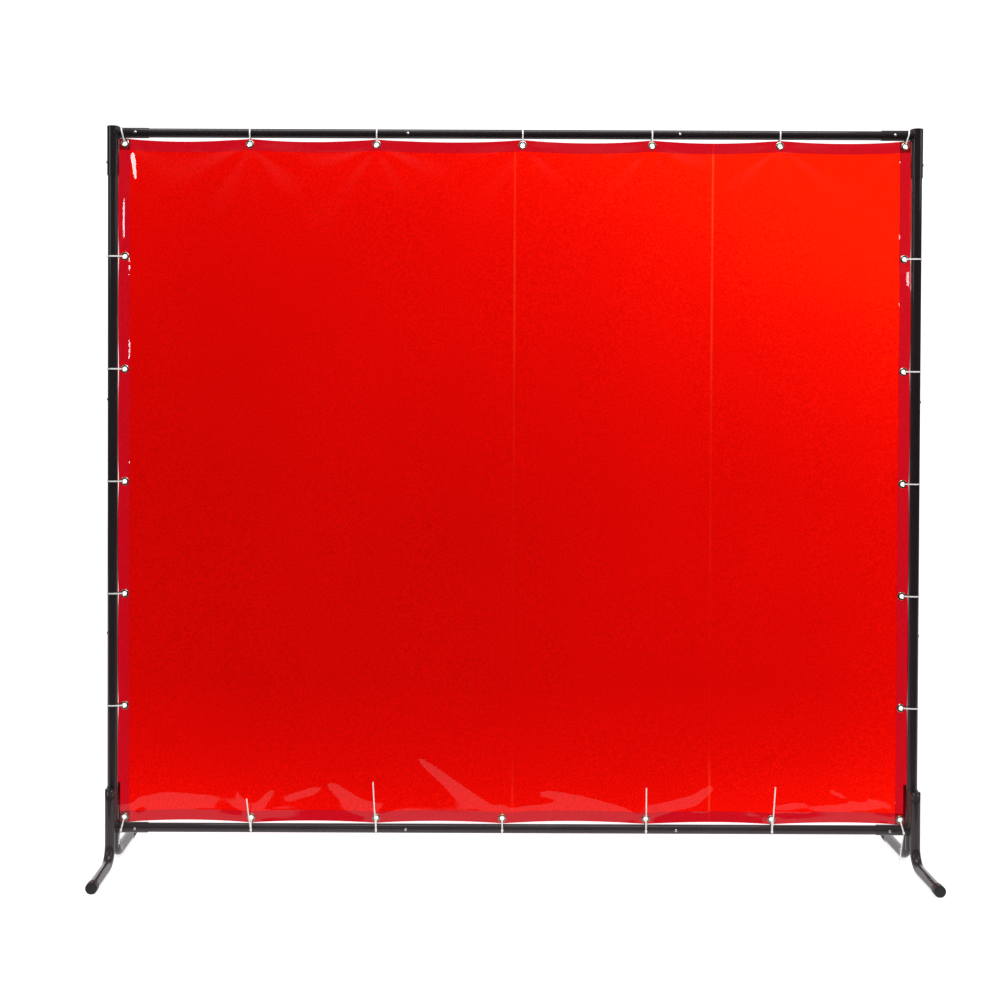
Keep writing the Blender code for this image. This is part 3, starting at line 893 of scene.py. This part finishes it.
# %% Add the buckles and hold the sheet at its eyelets
BUCKLES = (  # x, z, lean in radians, half length, half width, height
    (-0.890, 0.192, 0.03, 0.095, 0.030, -0.0040),
    (-0.905, 0.205, -0.15, 0.050, 0.022, -0.0022),
    (-0.722, 0.197, -1.10, 0.048, 0.012, -0.0032),
    (-0.668, 0.186, 0.93, 0.046, 0.014, -0.0038),
    (-0.560, 0.204, 0.33, 0.050, 0.013, -0.0030),
    (-0.436, 0.205, -0.60, 0.072, 0.020, -0.0044),
    (-0.160, 0.242, -0.655, 0.140, 0.022, -0.0074),
    (-0.024, 0.215, 1.53, 0.060, 0.007, -0.0012),
    (0.050, 0.160, 0.10, 0.070, 0.013, -0.0022),
    (0.135, 0.200, -0.20, 0.060, 0.022, -0.0042),
    (0.230, 0.178, -0.25, 0.080, 0.018, -0.0030),
    (0.430, 0.180, 0.18, 0.065, 0.018, -0.0030),
    (0.498, 0.210, 0.55, 0.050, 0.020, -0.0044),
    (-1.003, 1.868, -1.406, 0.054, 0.014, -0.0044),
    (-1.031, 1.716, -1.609, 0.095, 0.009, -0.0029),
    (1.035, 1.578, 1.571, 0.034, 0.012, -0.0056),
    (0.215, 1.912, 0.10, 0.018, 0.009, -0.0022),
    (1.010, 1.800, 1.50, 0.060, 0.012, -0.0024),
    (0.740, 0.170, 0.10, 0.050, 0.012, -0.0020),
    (0.890, 0.196, -0.50, 0.055, 0.014, -0.0034),
    (0.945, 0.200, -0.70, 0.045, 0.013, -0.0032),
    (0.875, 0.168, 0.05, 0.080, 0.012, -0.0018),
)
GRIP = 0.030
FLAT_RIM = 0.0125
for buckle in BUCKLES:
    billow += ridge(*buckle)
held = np.ones_like(S)
for x, z in eyelets:
    held *= 1 - np.exp(-((np.hypot(S - x, T - z) / GRIP) ** 4))
sheet_y = CURTAIN_Y + billow * held
for x, z in eyelets:
    near = np.hypot(S - x, T - z) < FLAT_RIM
    sheet_x[near] = S[near]
    sheet_z[near] = T[near]
off_flat = 1000 * (sheet_y - CURTAIN_Y)
print(f"the sheet stands {off_flat.min():.1f} to {off_flat.max():.1f} mm off flat")

# %% [markdown]
# The sheet and its hem come from the same grid, so they can never drift apart. Each layer is a closed solid
# of the vinyl's real thickness, because light has to go in through one face and out through the other. The
# hem is a second layer behind the sheet, and at the corners a third, which is why vinyl looks darker there.

# %% Helper that makes one layer
def layer(cells, behind, thickness, second_look=()):
    """A closed thin solid over some of the grid's cells, that far behind the sheet's middle."""
    holes = set()
    for i, j in centres:
        holes |= {(i - 1, j - 1), (i - 1, j), (i, j - 1), (i, j)}
    cells = [cell for cell in cells if cell not in holes]
    number = {}
    points = []
    for i, j in cells:
        for corner in ((i, j), (i + 1, j), (i + 1, j + 1), (i, j + 1)):
            if corner not in number:
                number[corner] = len(number)
                points.append((sheet_x[corner], sheet_y[corner] + behind, sheet_z[corner]))
    count = len(points)
    half = thickness / 2
    both = [(x, y + shift, z) for shift in (-half, half) for x, y, z in points]
    faces = []
    looks = []
    walls = {}
    for i, j in cells:
        look = int((i, j) in second_look)
        looks += [look, look]
        a, b, c, d = (number[corner] for corner in ((i, j), (i + 1, j), (i + 1, j + 1), (i, j + 1)))
        faces.append((a, b, c, d))
        faces.append((d + count, c + count, b + count, a + count))
        for edge in ((a, b), (b, c), (c, d), (d, a)):
            if edge[::-1] in walls:
                del walls[edge[::-1]]
            else:
                walls[edge] = look
    faces += [(b, a, a + count, b + count) for a, b in walls]
    looks += list(walls.values())
    mesh = bpy.data.meshes.new("layer")
    mesh.from_pydata(both, [], faces)
    mesh.polygons.foreach_set("material_index", looks)
    bm = bmesh.new()
    bm.from_mesh(mesh)
    bpy.data.meshes.remove(mesh)
    return bm


print("layer helper ready")

# %% [markdown]
# A cell of the grid is hem when it lies within four cells of an edge. The two strips cross at the corners,
# and that is where the third layer comes from.

# %% Say which cells are hem
all_cells = [(i, j) for i in range(COLUMNS) for j in range(ROWS)]
top_and_bottom = [(i, j) for i, j in all_cells if j < HEM_CELLS or j >= ROWS - HEM_CELLS]
left_and_right = [(i, j) for i, j in all_cells if i < HEM_CELLS or i >= COLUMNS - HEM_CELLS]
print(len(all_cells), "cells in the sheet")

# %% [markdown]
# ## Tinted vinyl
#
# Welding vinyl lets red light through and stops the rest. A Principled shader at full transmission does
# that, with its base colour as the tint. Painted backlight is put into that colour: it is deepest halfway up
# on the left and palest at the upper right, and a painted glow pales it again just above the bottom hem. So
# one factor of painted light is worked out from the place on the sheet, with cloudiness and a fine grain
# added, and a ramp turns it into colour.

# %% Helpers for arithmetic in a node tree
def worked(tree, operation, first, second=0.5, third=0.5):
    """One Math node, from sockets or numbers."""
    node = tree.nodes.new("ShaderNodeMath")
    node.operation = operation
    for index, source in enumerate((first, second, third)):
        if hasattr(source, "node"):
            tree.links.new(source, node.inputs[index])
        else:
            node.inputs[index].default_value = source
    return node.outputs[0]


def line_at(tree, distance, width):
    """1 on a line, fading to 0 at that width from it."""
    return ramp(tree, worked(tree, "ABSOLUTE", distance), [(0.0, 1.0), (width, 0.0)])


print("node arithmetic ready")

# %% [markdown]
# The sheet keeps pale creases at the quarters of its width, where it was folded for storage. They show most
# in the upper part and to the right. One factor puts them in the colour, the roughness and the bump, since
# they are changes in the surface. The weld seam along the hem pinches the sheet here and there.

# %% Vinyl finish
def vinyl(name, tint_and_painted_light_stops):
    made, tree, shader = finish_named(name, IOR=1.43, Transmission_Weight=1.0)
    place = tree.nodes.new("ShaderNodeTexCoord")
    split = tree.nodes.new("ShaderNodeSeparateXYZ")
    tree.links.new(place.outputs["Object"], split.inputs["Vector"])
    x, z = split.outputs["X"], split.outputs["Z"]
    # Painted backlight: the colour factor is deepest halfway up on the left and palest at the upper right.
    across = worked(tree, "MULTIPLY", x, worked(tree, "MULTIPLY_ADD", x, 0.105, 0.022))
    rising = worked(tree, "MULTIPLY_ADD", z, 0.302, worked(tree, "MULTIPLY_ADD", x, 0.182, -0.340))
    painted_backlight = worked(tree, "ADD", across, worked(tree, "MULTIPLY_ADD", z, rising, 0.318))
    # Painted glow: the colour pales just above the bottom hem.
    painted_low_glow = ramp(tree, z, [(0.14, 0.34), (0.30, 0.14), (0.50, 0.0)])
    painted_backlight_and_glow = worked(tree, "ADD", painted_backlight, painted_low_glow)
    cloud = worked(tree, "SUBTRACT", noise(tree, 1.6, 4), 0.5)
    cloudy_and_painted_light = worked(tree, "MULTIPLY_ADD", cloud, 0.25, painted_backlight_and_glow)
    grain = worked(tree, "SUBTRACT", noise(tree, 210, 2, 0.6), 0.5)
    grain_cloud_and_painted_light = worked(tree, "MULTIPLY_ADD", grain, 0.8, cloudy_and_painted_light)
    quarter = worked(tree, "PINGPONG", x, flat_width / 8)
    half_height = worked(tree, "MULTIPLY", z, 0.5)
    low_fade = [(0.10, 0.6), (0.15, 0.04), (0.35, 0.04)]
    kept = ramp(tree, half_height, low_fade + [(0.50, 0.10), (0.625, 0.22), (0.75, 1.0)])
    sharper_right = worked(tree, "MULTIPLY", worked(tree, "MULTIPLY_ADD", x, 1.05, 0.45), kept)
    crease = worked(tree, "MULTIPLY", ramp(tree, quarter, [(0.0, 1.0), (0.0024, 0.0)]), sharper_right)
    paled = tree.nodes.new("ShaderNodeMix")
    paled.data_type = "RGBA"
    patchy = ramp(tree, noise(tree, 3, 3), [(0.35, 0.20), (0.7, 0.65)])
    tree.links.new(worked(tree, "MULTIPLY", crease, patchy), paled.inputs["Factor"])
    tree.links.new(ramp(tree, grain_cloud_and_painted_light, tint_and_painted_light_stops), paled.inputs["A"])
    paled.inputs["B"].default_value = (0.88, 0.10, 0.03, 1.0)
    tree.links.new(paled.outputs["Result"], shader.inputs["Base Color"])
    gloss = ramp(tree, noise(tree, 30, 5), [(0.3, 0.03), (0.7, 0.06)])
    tree.links.new(worked(tree, "MULTIPLY_ADD", crease, 0.16, gloss), shader.inputs["Roughness"])
    from_middle = worked(tree, "ABSOLUTE", x)
    side_seam = line_at(tree, worked(tree, "SUBTRACT", from_middle, wide - HEM), SEAM)
    top_seam = line_at(tree, worked(tree, "SUBTRACT", z, curtain_high.z - HEM - SEAM_SAG), SEAM)
    low_seam = line_at(tree, worked(tree, "SUBTRACT", z, curtain_low.z + HEM + SEAM_SAG), SEAM)
    seams = worked(tree, "MAXIMUM", side_seam, worked(tree, "MAXIMUM", top_seam, low_seam))
    broken = ramp(tree, noise(tree, 9, 3, 0.6), [(0.56, 0.0), (0.66, 1.0)])
    pinches = worked(tree, "MULTIPLY", seams, broken)
    fine = worked(tree, "MULTIPLY_ADD", noise(tree, 650, 2), 0.04, worked(tree, "MULTIPLY", crease, 0.5))
    bump(tree, shader, worked(tree, "MULTIPLY_ADD", pinches, 3.0, fine), 0.0004)
    return made


SEAM = 0.0025
SEAM_SAG = 0.004
print("vinyl recipe ready")

# %% [markdown]
# The same recipe is used three times. Where two layers lie together in the hem, less light comes through
# and it is pinker, and the corners, with three, are the darkest. The layers do part of this by themselves,
# and each finish supplies the rest.

# %% Curtain and hems
# Colour stops from deep to pale: the vinyl's tint, spread out by the painted backlight and glow.
sheet_tint_and_painted_light = [
    (0.0, (0.40, 0.0007, 0.0002)),
    (0.19, (0.509, 0.0009, 0.0002)),
    (0.43, (0.615, 0.0011, 0.0002)),
    (0.75, (0.826, 0.0030, 0.0003)),
    (1.0, (0.95, 0.0120, 0.0005)),
]
hem_tint_and_painted_light = [(0.0, (0.66, 0.030, 0.070)), (0.4, (0.69, 0.040, 0.085)), (1.0, (0.73, 0.055, 0.095))]
corner_tint_and_painted_light = [(0.0, (0.33, 0.040, 0.050)), (1.0, (0.36, 0.050, 0.055))]
sheet_vinyl = vinyl("tinted_red_vinyl_with_painted_light", sheet_tint_and_painted_light)
hem_vinyl = vinyl("welded_hem_vinyl", hem_tint_and_painted_light)
corner_vinyl = vinyl("doubled_corner_vinyl", corner_tint_and_painted_light)
HEM_BEHIND = SHEET + 0.00005
in_hem = set(top_and_bottom) | set(left_and_right)
in_corner = set(top_and_bottom) & set(left_and_right)
front_layer = layer(all_cells, 0.0, SHEET, in_hem)
curtain = piece("curtain_sheet", front_layer, [sheet_vinyl, hem_vinyl], FRAME, "curtain", 60)
ends = layer(top_and_bottom, HEM_BEHIND, SHEET)
hem_ends = piece("curtain_hem_ends", ends, hem_vinyl, FRAME, None, 60)
sides = layer(left_and_right, 2 * HEM_BEHIND, SHEET, in_corner)
hem_sides = piece("curtain_hem_sides", sides, [hem_vinyl, corner_vinyl], FRAME, None, 60)
hems = [hem_ends, hem_sides]
print("curtain and hems made")

# %% [markdown]
# ## Eyelets
#
# An eyelet is two pressed parts, a flanged barrel and a washer, that grip the hem between them. Together
# they make one turned shape with a groove where the vinyl goes in.

# %% Eyelets
flange = [(8.5, 0.3), (11, 0.3), (11.05, 0.7), (10.7, 1.15), (9.8, 1.45), (8.6, 1.5), (7.3, 1.4)]
barrel = [(6.4, 1.1), (5.9, 0.6), (5.8, 0), (5.8, -1), (6, -1.35), (6.8, -1.75)]
washer = [(9, -2), (10.4, -1.9), (11, -1.6), (11, -1.45), (8.5, -1.45)]
in_metres = [(radius / 1000, height / 1000) for radius, height in flange + barrel + washer]
eyelet_pieces = []
for index, (x, z) in enumerate(eyelets):
    matrix = pointing((0, -1, 0), (x, CURTAIN_Y, z))
    ring = lathe(in_metres, 40, matrix)
    ring = piece(f"eyelet_{index + 1:02d}", ring, metal, FRAME, None)
    eyelet_pieces.append(ring)
print(len(eyelet_pieces), "eyelets pressed in")

# %% [markdown]
# ## Cable ties
#
# Twenty-four nylon ties hold the curtain to the frame. A tie pulled tight is the shortest loop round two
# things: the tube and the rim of the eyelet. That is the convex hull of two circles, so the loop is found
# as a hull and a thin strap is swept along it. Each tie has its locking head, and a cut tail that points
# wherever the hands left it.

# %% The loop round two things
def hull(points):
    """The points of a plane shape's outline, in order."""
    points = sorted(set(points))
    chains = []
    for run in (points, points[::-1]):
        chain = []
        for p in run:
            while len(chain) > 1:
                (ax, ay), (bx, by) = chain[-2], chain[-1]
                if (bx - ax) * (p[1] - ay) - (by - ay) * (p[0] - ax) > 0:
                    break
                chain.pop()
            chain.append(p)
        chains.append(chain[:-1])
    return chains[0] + chains[1]


def evenly(points, count):
    """A closed outline resampled to equal steps."""
    loop = np.array(points + [points[0]])
    steps = np.hypot(*np.diff(loop, axis=0).T)
    marks = np.concatenate([[0], np.cumsum(steps)])
    at = np.linspace(0, marks[-1], count, endpoint=False)
    return list(zip(np.interp(at, marks, loop[:, 0]), np.interp(at, marks, loop[:, 1])))


print("loop helpers ready")

# %% [markdown]
# The head is a small bevelled block that sits on the loop at a chosen angle. The tail leaves it along the
# tube's tangent, and is given as its lift, its sway to one side, its length and its curl.

# %% Cable tie helper
STRAP_WIDTH = 0.0036
STRAP = 0.0011
SLACK = 0.0004
RIM_HOLD = 0.0026
HEAD_SIZE = (0.0056, 0.0052, 0.0044, 1)
HEAD_LIFT = 0.0016
TAIL_LIFT = 0.0022
TAIL_STEPS = 13


def tie(name, x, z, axis_point, radius, head_angle, tail):
    """A tie from the eyelet at x, z round the tube whose axis passes through axis_point."""
    start = Vector((x, CURTAIN_Y, z))
    reach = Vector((axis_point[0] - x, 0, axis_point[1] - z))
    away = reach.normalized()
    front = Vector((0, -1, 0))
    distance = reach.length
    turn = [math.tau * k / 72 for k in range(72)]
    hold = radius + SLACK + STRAP / 2
    circles = [(distance + hold * math.cos(a), CURTAIN_Y + hold * math.sin(a)) for a in turn]
    circles += [(0.0072 + RIM_HOLD * math.cos(a), -0.0003 + RIM_HOLD * math.sin(a)) for a in turn]
    loop = evenly(hull(circles), 120)

    def world(p, q):
        return start + away * p + front * q

    path = [world(p, q) for p, q in loop]
    inside = world(distance * 0.6, CURTAIN_Y * 0.6)
    strap = strap_section(STRAP_WIDTH, STRAP)
    band = swept(path, strap, lambda point, tangent: point - inside, closed=True)
    spot = min(loop, key=lambda pq: abs(math.atan2(pq[1] - CURTAIN_Y, pq[0] - distance) - head_angle))
    at = world(*spot)
    out = (at - world(distance, CURTAIN_Y)).normalized()
    along = out.cross(away.cross(front)).normalized()
    if along.dot(away) > 0:
        along = -along
    head = bmesh.new()
    bmesh.ops.create_cube(head, size=1, matrix=Matrix.Diagonal(HEAD_SIZE))
    edges = list(head.edges)
    bmesh.ops.bevel(head, geom=edges, offset=0.0007, segments=3, profile=0.6, affect="EDGES")
    head.transform(pointing(out, at + out * HEAD_LIFT, away.cross(front)))
    parts = [band, head]
    if tail:
        lift, sway, length, curl = tail
        points = []
        for k in range(TAIL_STEPS + 1):
            u = k / TAIL_STEPS
            aside = Vector((sway * u + u * u * curl, 0, 0))
            points.append(at + out * (TAIL_LIFT + lift * u) + along * (length * u) + aside)
        thinner = strap_section(STRAP_WIDTH * 0.92, STRAP * 0.9)
        parts.append(swept(points, thinner, lambda point, tangent: out))
    return piece(name, joined(parts), white_nylon, FRAME, None, 30)


print("tie helper ready")

# %% [markdown]
# Most ties were trimmed short. Along the bottom the tails were left long: four point up in front of the
# sheet, and the two at the corners hang down. A corner tie goes round the stub of the frame's corner.

# %% Tie the curtain to the frame
SHORT_SIDE = (0.002, 0.0, 0.006, 0.0)
SHORT_TOP = (0.002, 0.001, 0.008, 0.0)
CORNER_X = 1.0435
low_tails = {
    -SIDE_X: (0.004, -0.001, -0.040, 0.004),
    BOTTOM_X[0]: (0.006, -0.012, 0.088, 0.003),
    BOTTOM_X[1]: (0.008, -0.009, 0.136, 0.002),
    BOTTOM_X[2]: None,
    BOTTOM_X[3]: (0.007, -0.002, 0.122, 0.0),
    BOTTOM_X[4]: (0.008, 0.006, 0.126, -0.002),
    SIDE_X: (0.010, -0.032, -0.090, 0.004),
}
ties = []
for index, (x, z) in enumerate(eyelets):
    corner = abs(x) == SIDE_X
    axis_x = math.copysign(CORNER_X, x) if corner else x
    radius = stub_radius if corner else rail_radius
    if z == TOP_Z:
        axis_z = rail_z["top"]
        angle, tail = (-2.0, SHORT_SIDE) if corner else (-1.6, SHORT_TOP)
    elif z == BOTTOM_Z:
        axis_z = rail_z["bottom"]
        angle, tail = 1.35 if corner else 1.45, low_tails[x]
    else:
        axis_x, axis_z = math.copysign(post_x["left"], x), z
        radius = post_radius
        angle, tail = -1.9, SHORT_SIDE
    ties.append(tie(f"cable_tie_{index + 1:02d}", x, z, (axis_x, axis_z), radius, angle, tail))
print(len(ties), "ties made")

# %% [markdown]
# The sheet hangs and rests on the ties. Its flat size is the finished sheet before it was tied.

print(f"the flat sheet is {flat_width:.3f} m by {flat_height:.3f} m")

# %% [markdown]
# ## Studio
#
# The screen stands on white paper in front of a white backdrop. Through the vinyl the camera sees that
# white, which makes the sheet glow. In front of it the room is dark, so the sheet and the black tubes
# reflect nothing until they tilt towards the paper. The world shader tells the two apart by the kind of ray
# that reaches it.

# %% World
world = bpy.data.worlds.new("studio")
bpy.context.scene.world = world
world.use_nodes = True
world.cycles.sampling_method = "NONE"
sky = world.node_tree
sky.nodes.clear()
output = sky.nodes.new("ShaderNodeOutputWorld")
rays = sky.nodes.new("ShaderNodeLightPath")
direction = sky.nodes.new("ShaderNodeTexCoord")
axes = sky.nodes.new("ShaderNodeSeparateXYZ")
sky.links.new(direction.outputs["Generated"], axes.inputs["Vector"])


def fade(axis, start, end, dark, bright):
    """A strength that rises from dark to bright as a direction's axis goes from start to end."""
    node = sky.nodes.new("ShaderNodeMapRange")
    for socket, value in zip(("From Min", "From Max", "To Min", "To Max"), (start, end, dark, bright)):
        node.inputs[socket].default_value = value
    sky.links.new(axes.outputs[axis], node.inputs["Value"])
    return node.outputs["Result"]


room = sky.nodes.new("ShaderNodeBackground")
brightest = worked(sky, "MAXIMUM", fade("Y", 0.45, 0.85, 0.02, 1.3), fade("Z", 0.10, 0.55, 0.0, 0.28))
sky.links.new(brightest, room.inputs["Strength"])
backdrop = sky.nodes.new("ShaderNodeBackground")
backdrop.inputs["Strength"].default_value = 1.25
for light in (room, backdrop):
    light.inputs["Color"].default_value = (1, 1, 1, 1)
seen = worked(sky, "MAXIMUM", rays.outputs["Is Camera Ray"], rays.outputs["Is Transmission Ray"])
choose = sky.nodes.new("ShaderNodeMixShader")
sky.links.new(seen, choose.inputs["Fac"])
sky.links.new(room.outputs[0], choose.inputs[1])
sky.links.new(backdrop.outputs[0], choose.inputs[2])
sky.links.new(choose.outputs[0], output.inputs["Surface"])
print("world ready")

# %% [markdown]
# The paper is brighter to rays that pass through the vinyl than to those that bounce off it, so that the
# reflections of it stay faint. It starts a quarter of a metre in front of the feet.

# %% Paper floor
paper, tree, shader = finish_named(
    "white_paper",
    Base_Color=(0.82, 0.82, 0.82, 1),
    Roughness=0.9,
    Emission_Color=(1, 1, 1, 1),
    Emission_Strength=0.80,
)
kind = tree.nodes.new("ShaderNodeLightPath")
surface = shader.outputs["BSDF"]
for ray, glow in (("Is Glossy Ray", 0.80), ("Is Transmission Ray", 1.25)):
    lit = tree.nodes.new("ShaderNodeEmission")
    lit.inputs["Strength"].default_value = glow
    either = tree.nodes.new("ShaderNodeMixShader")
    tree.links.new(kind.outputs[ray], either.inputs["Fac"])
    tree.links.new(surface, either.inputs[1])
    tree.links.new(lit.outputs["Emission"], either.inputs[2])
    surface = either.outputs["Shader"]
tree.links.new(surface, tree.nodes["Material Output"].inputs["Surface"])
paper.cycles.emission_sampling = "NONE"
PAPER_FRONT = -0.50
bm = bmesh.new()
corners = ((-6, PAPER_FRONT), (6, PAPER_FRONT), (6, 9), (-6, 9))
bm.faces.new([bm.verts.new((x, y, 0)) for x, y in corners])
mesh = bpy.data.meshes.new("paper_floor")
bm.to_mesh(mesh)
bm.free()
mesh.materials.append(paper)
floor = bpy.data.objects.new("paper_floor", mesh)
bpy.context.scene.collection.objects.link(floor)
print("floor laid")

# %% [markdown]
# Weak soft boxes draw thin highlights along the tubes. The strips are aimed so that only the buckles beside
# the side eyelets send them to the camera, and they light the curtain alone. The front soft box lights only
# the small pale pieces, or it would show in the whole sheet.

# %% Lights
def softbox(name, place, target, width, height, watts):
    light = bpy.data.lights.new(name, "AREA")
    light.shape = "RECTANGLE"
    light.size = width
    light.size_y = height
    light.energy = watts
    holder = bpy.data.objects.new(name, light)
    bpy.context.scene.collection.objects.link(holder)
    holder.visible_camera = False
    holder.visible_transmission = False
    aim = Vector(target) - Vector(place)
    holder.matrix_world = Matrix.Translation(place) @ aim.to_track_quat("-Z", "Y").to_matrix().to_4x4()
    return holder


def lights_only(light, lit_pieces):
    """Keeps a light to some pieces, as a studio hand does with flags and barn doors."""
    only = bpy.data.collections.new(light.name + "_lights_only")
    for lit in lit_pieces:
        only.objects.link(lit)
    light.light_linking.receiver_collection = only


screen_middle = (0, 0, 1.0)
softbox("left_softbox", (-3.2, -1.6, 2.6), screen_middle, 0.9, 1.8, 14)
softbox("right_softbox", (3.4, -1.2, 2.9), screen_middle, 0.9, 1.8, 14)
softbox("overhead", (0.0, -0.4, 4.2), (0, 0, 0), 3.0, 1.2, 40)
left_strip = softbox("left_strip", (-2.7, -2.6, 1.9), (-1, 0, 1.7), 0.7, 1.5, 75)
right_strip = softbox("right_strip", (3.5, -2.6, 1.9), (1, 0, 1.7), 0.6, 1.2, 40)
for strip in (left_strip, right_strip):
    lights_only(strip, [curtain] + hems)
heads = [bpy.data.objects[name + "_steel"] for name in buttons]
front_box = softbox("front_softbox", (0.5, -3.0, 3.9), screen_middle, 1.8, 1.0, 150)
lights_only(front_box, ties + eyelet_pieces + heads)
print("studio lit")

# %% [markdown]
# The camera stands just under four metres away, a little left of the middle and almost level. Like a shift
# lens, it slides the frame instead of turning, so the posts stay upright. The Standard view transform keeps
# the paper white.

# %% Camera
lens = bpy.data.cameras.new("camera")
lens.lens = 52.62
lens.sensor_width = 36
lens.shift_x = 0.046
lens.shift_y = -0.1021
camera = bpy.data.objects.new("camera", lens)
tilt = Matrix.Rotation(math.radians(90 - 0.75), 4, "X") @ Matrix.Rotation(math.radians(0.22), 4, "Z")
camera.matrix_world = Matrix.Translation((-0.16, -3.9, 1.303)) @ tilt
bpy.context.scene.collection.objects.link(camera)
bpy.context.scene.camera = camera
bpy.context.scene.view_settings.view_transform = "Standard"
bpy.context.scene.view_settings.look = "None"
print("camera set")
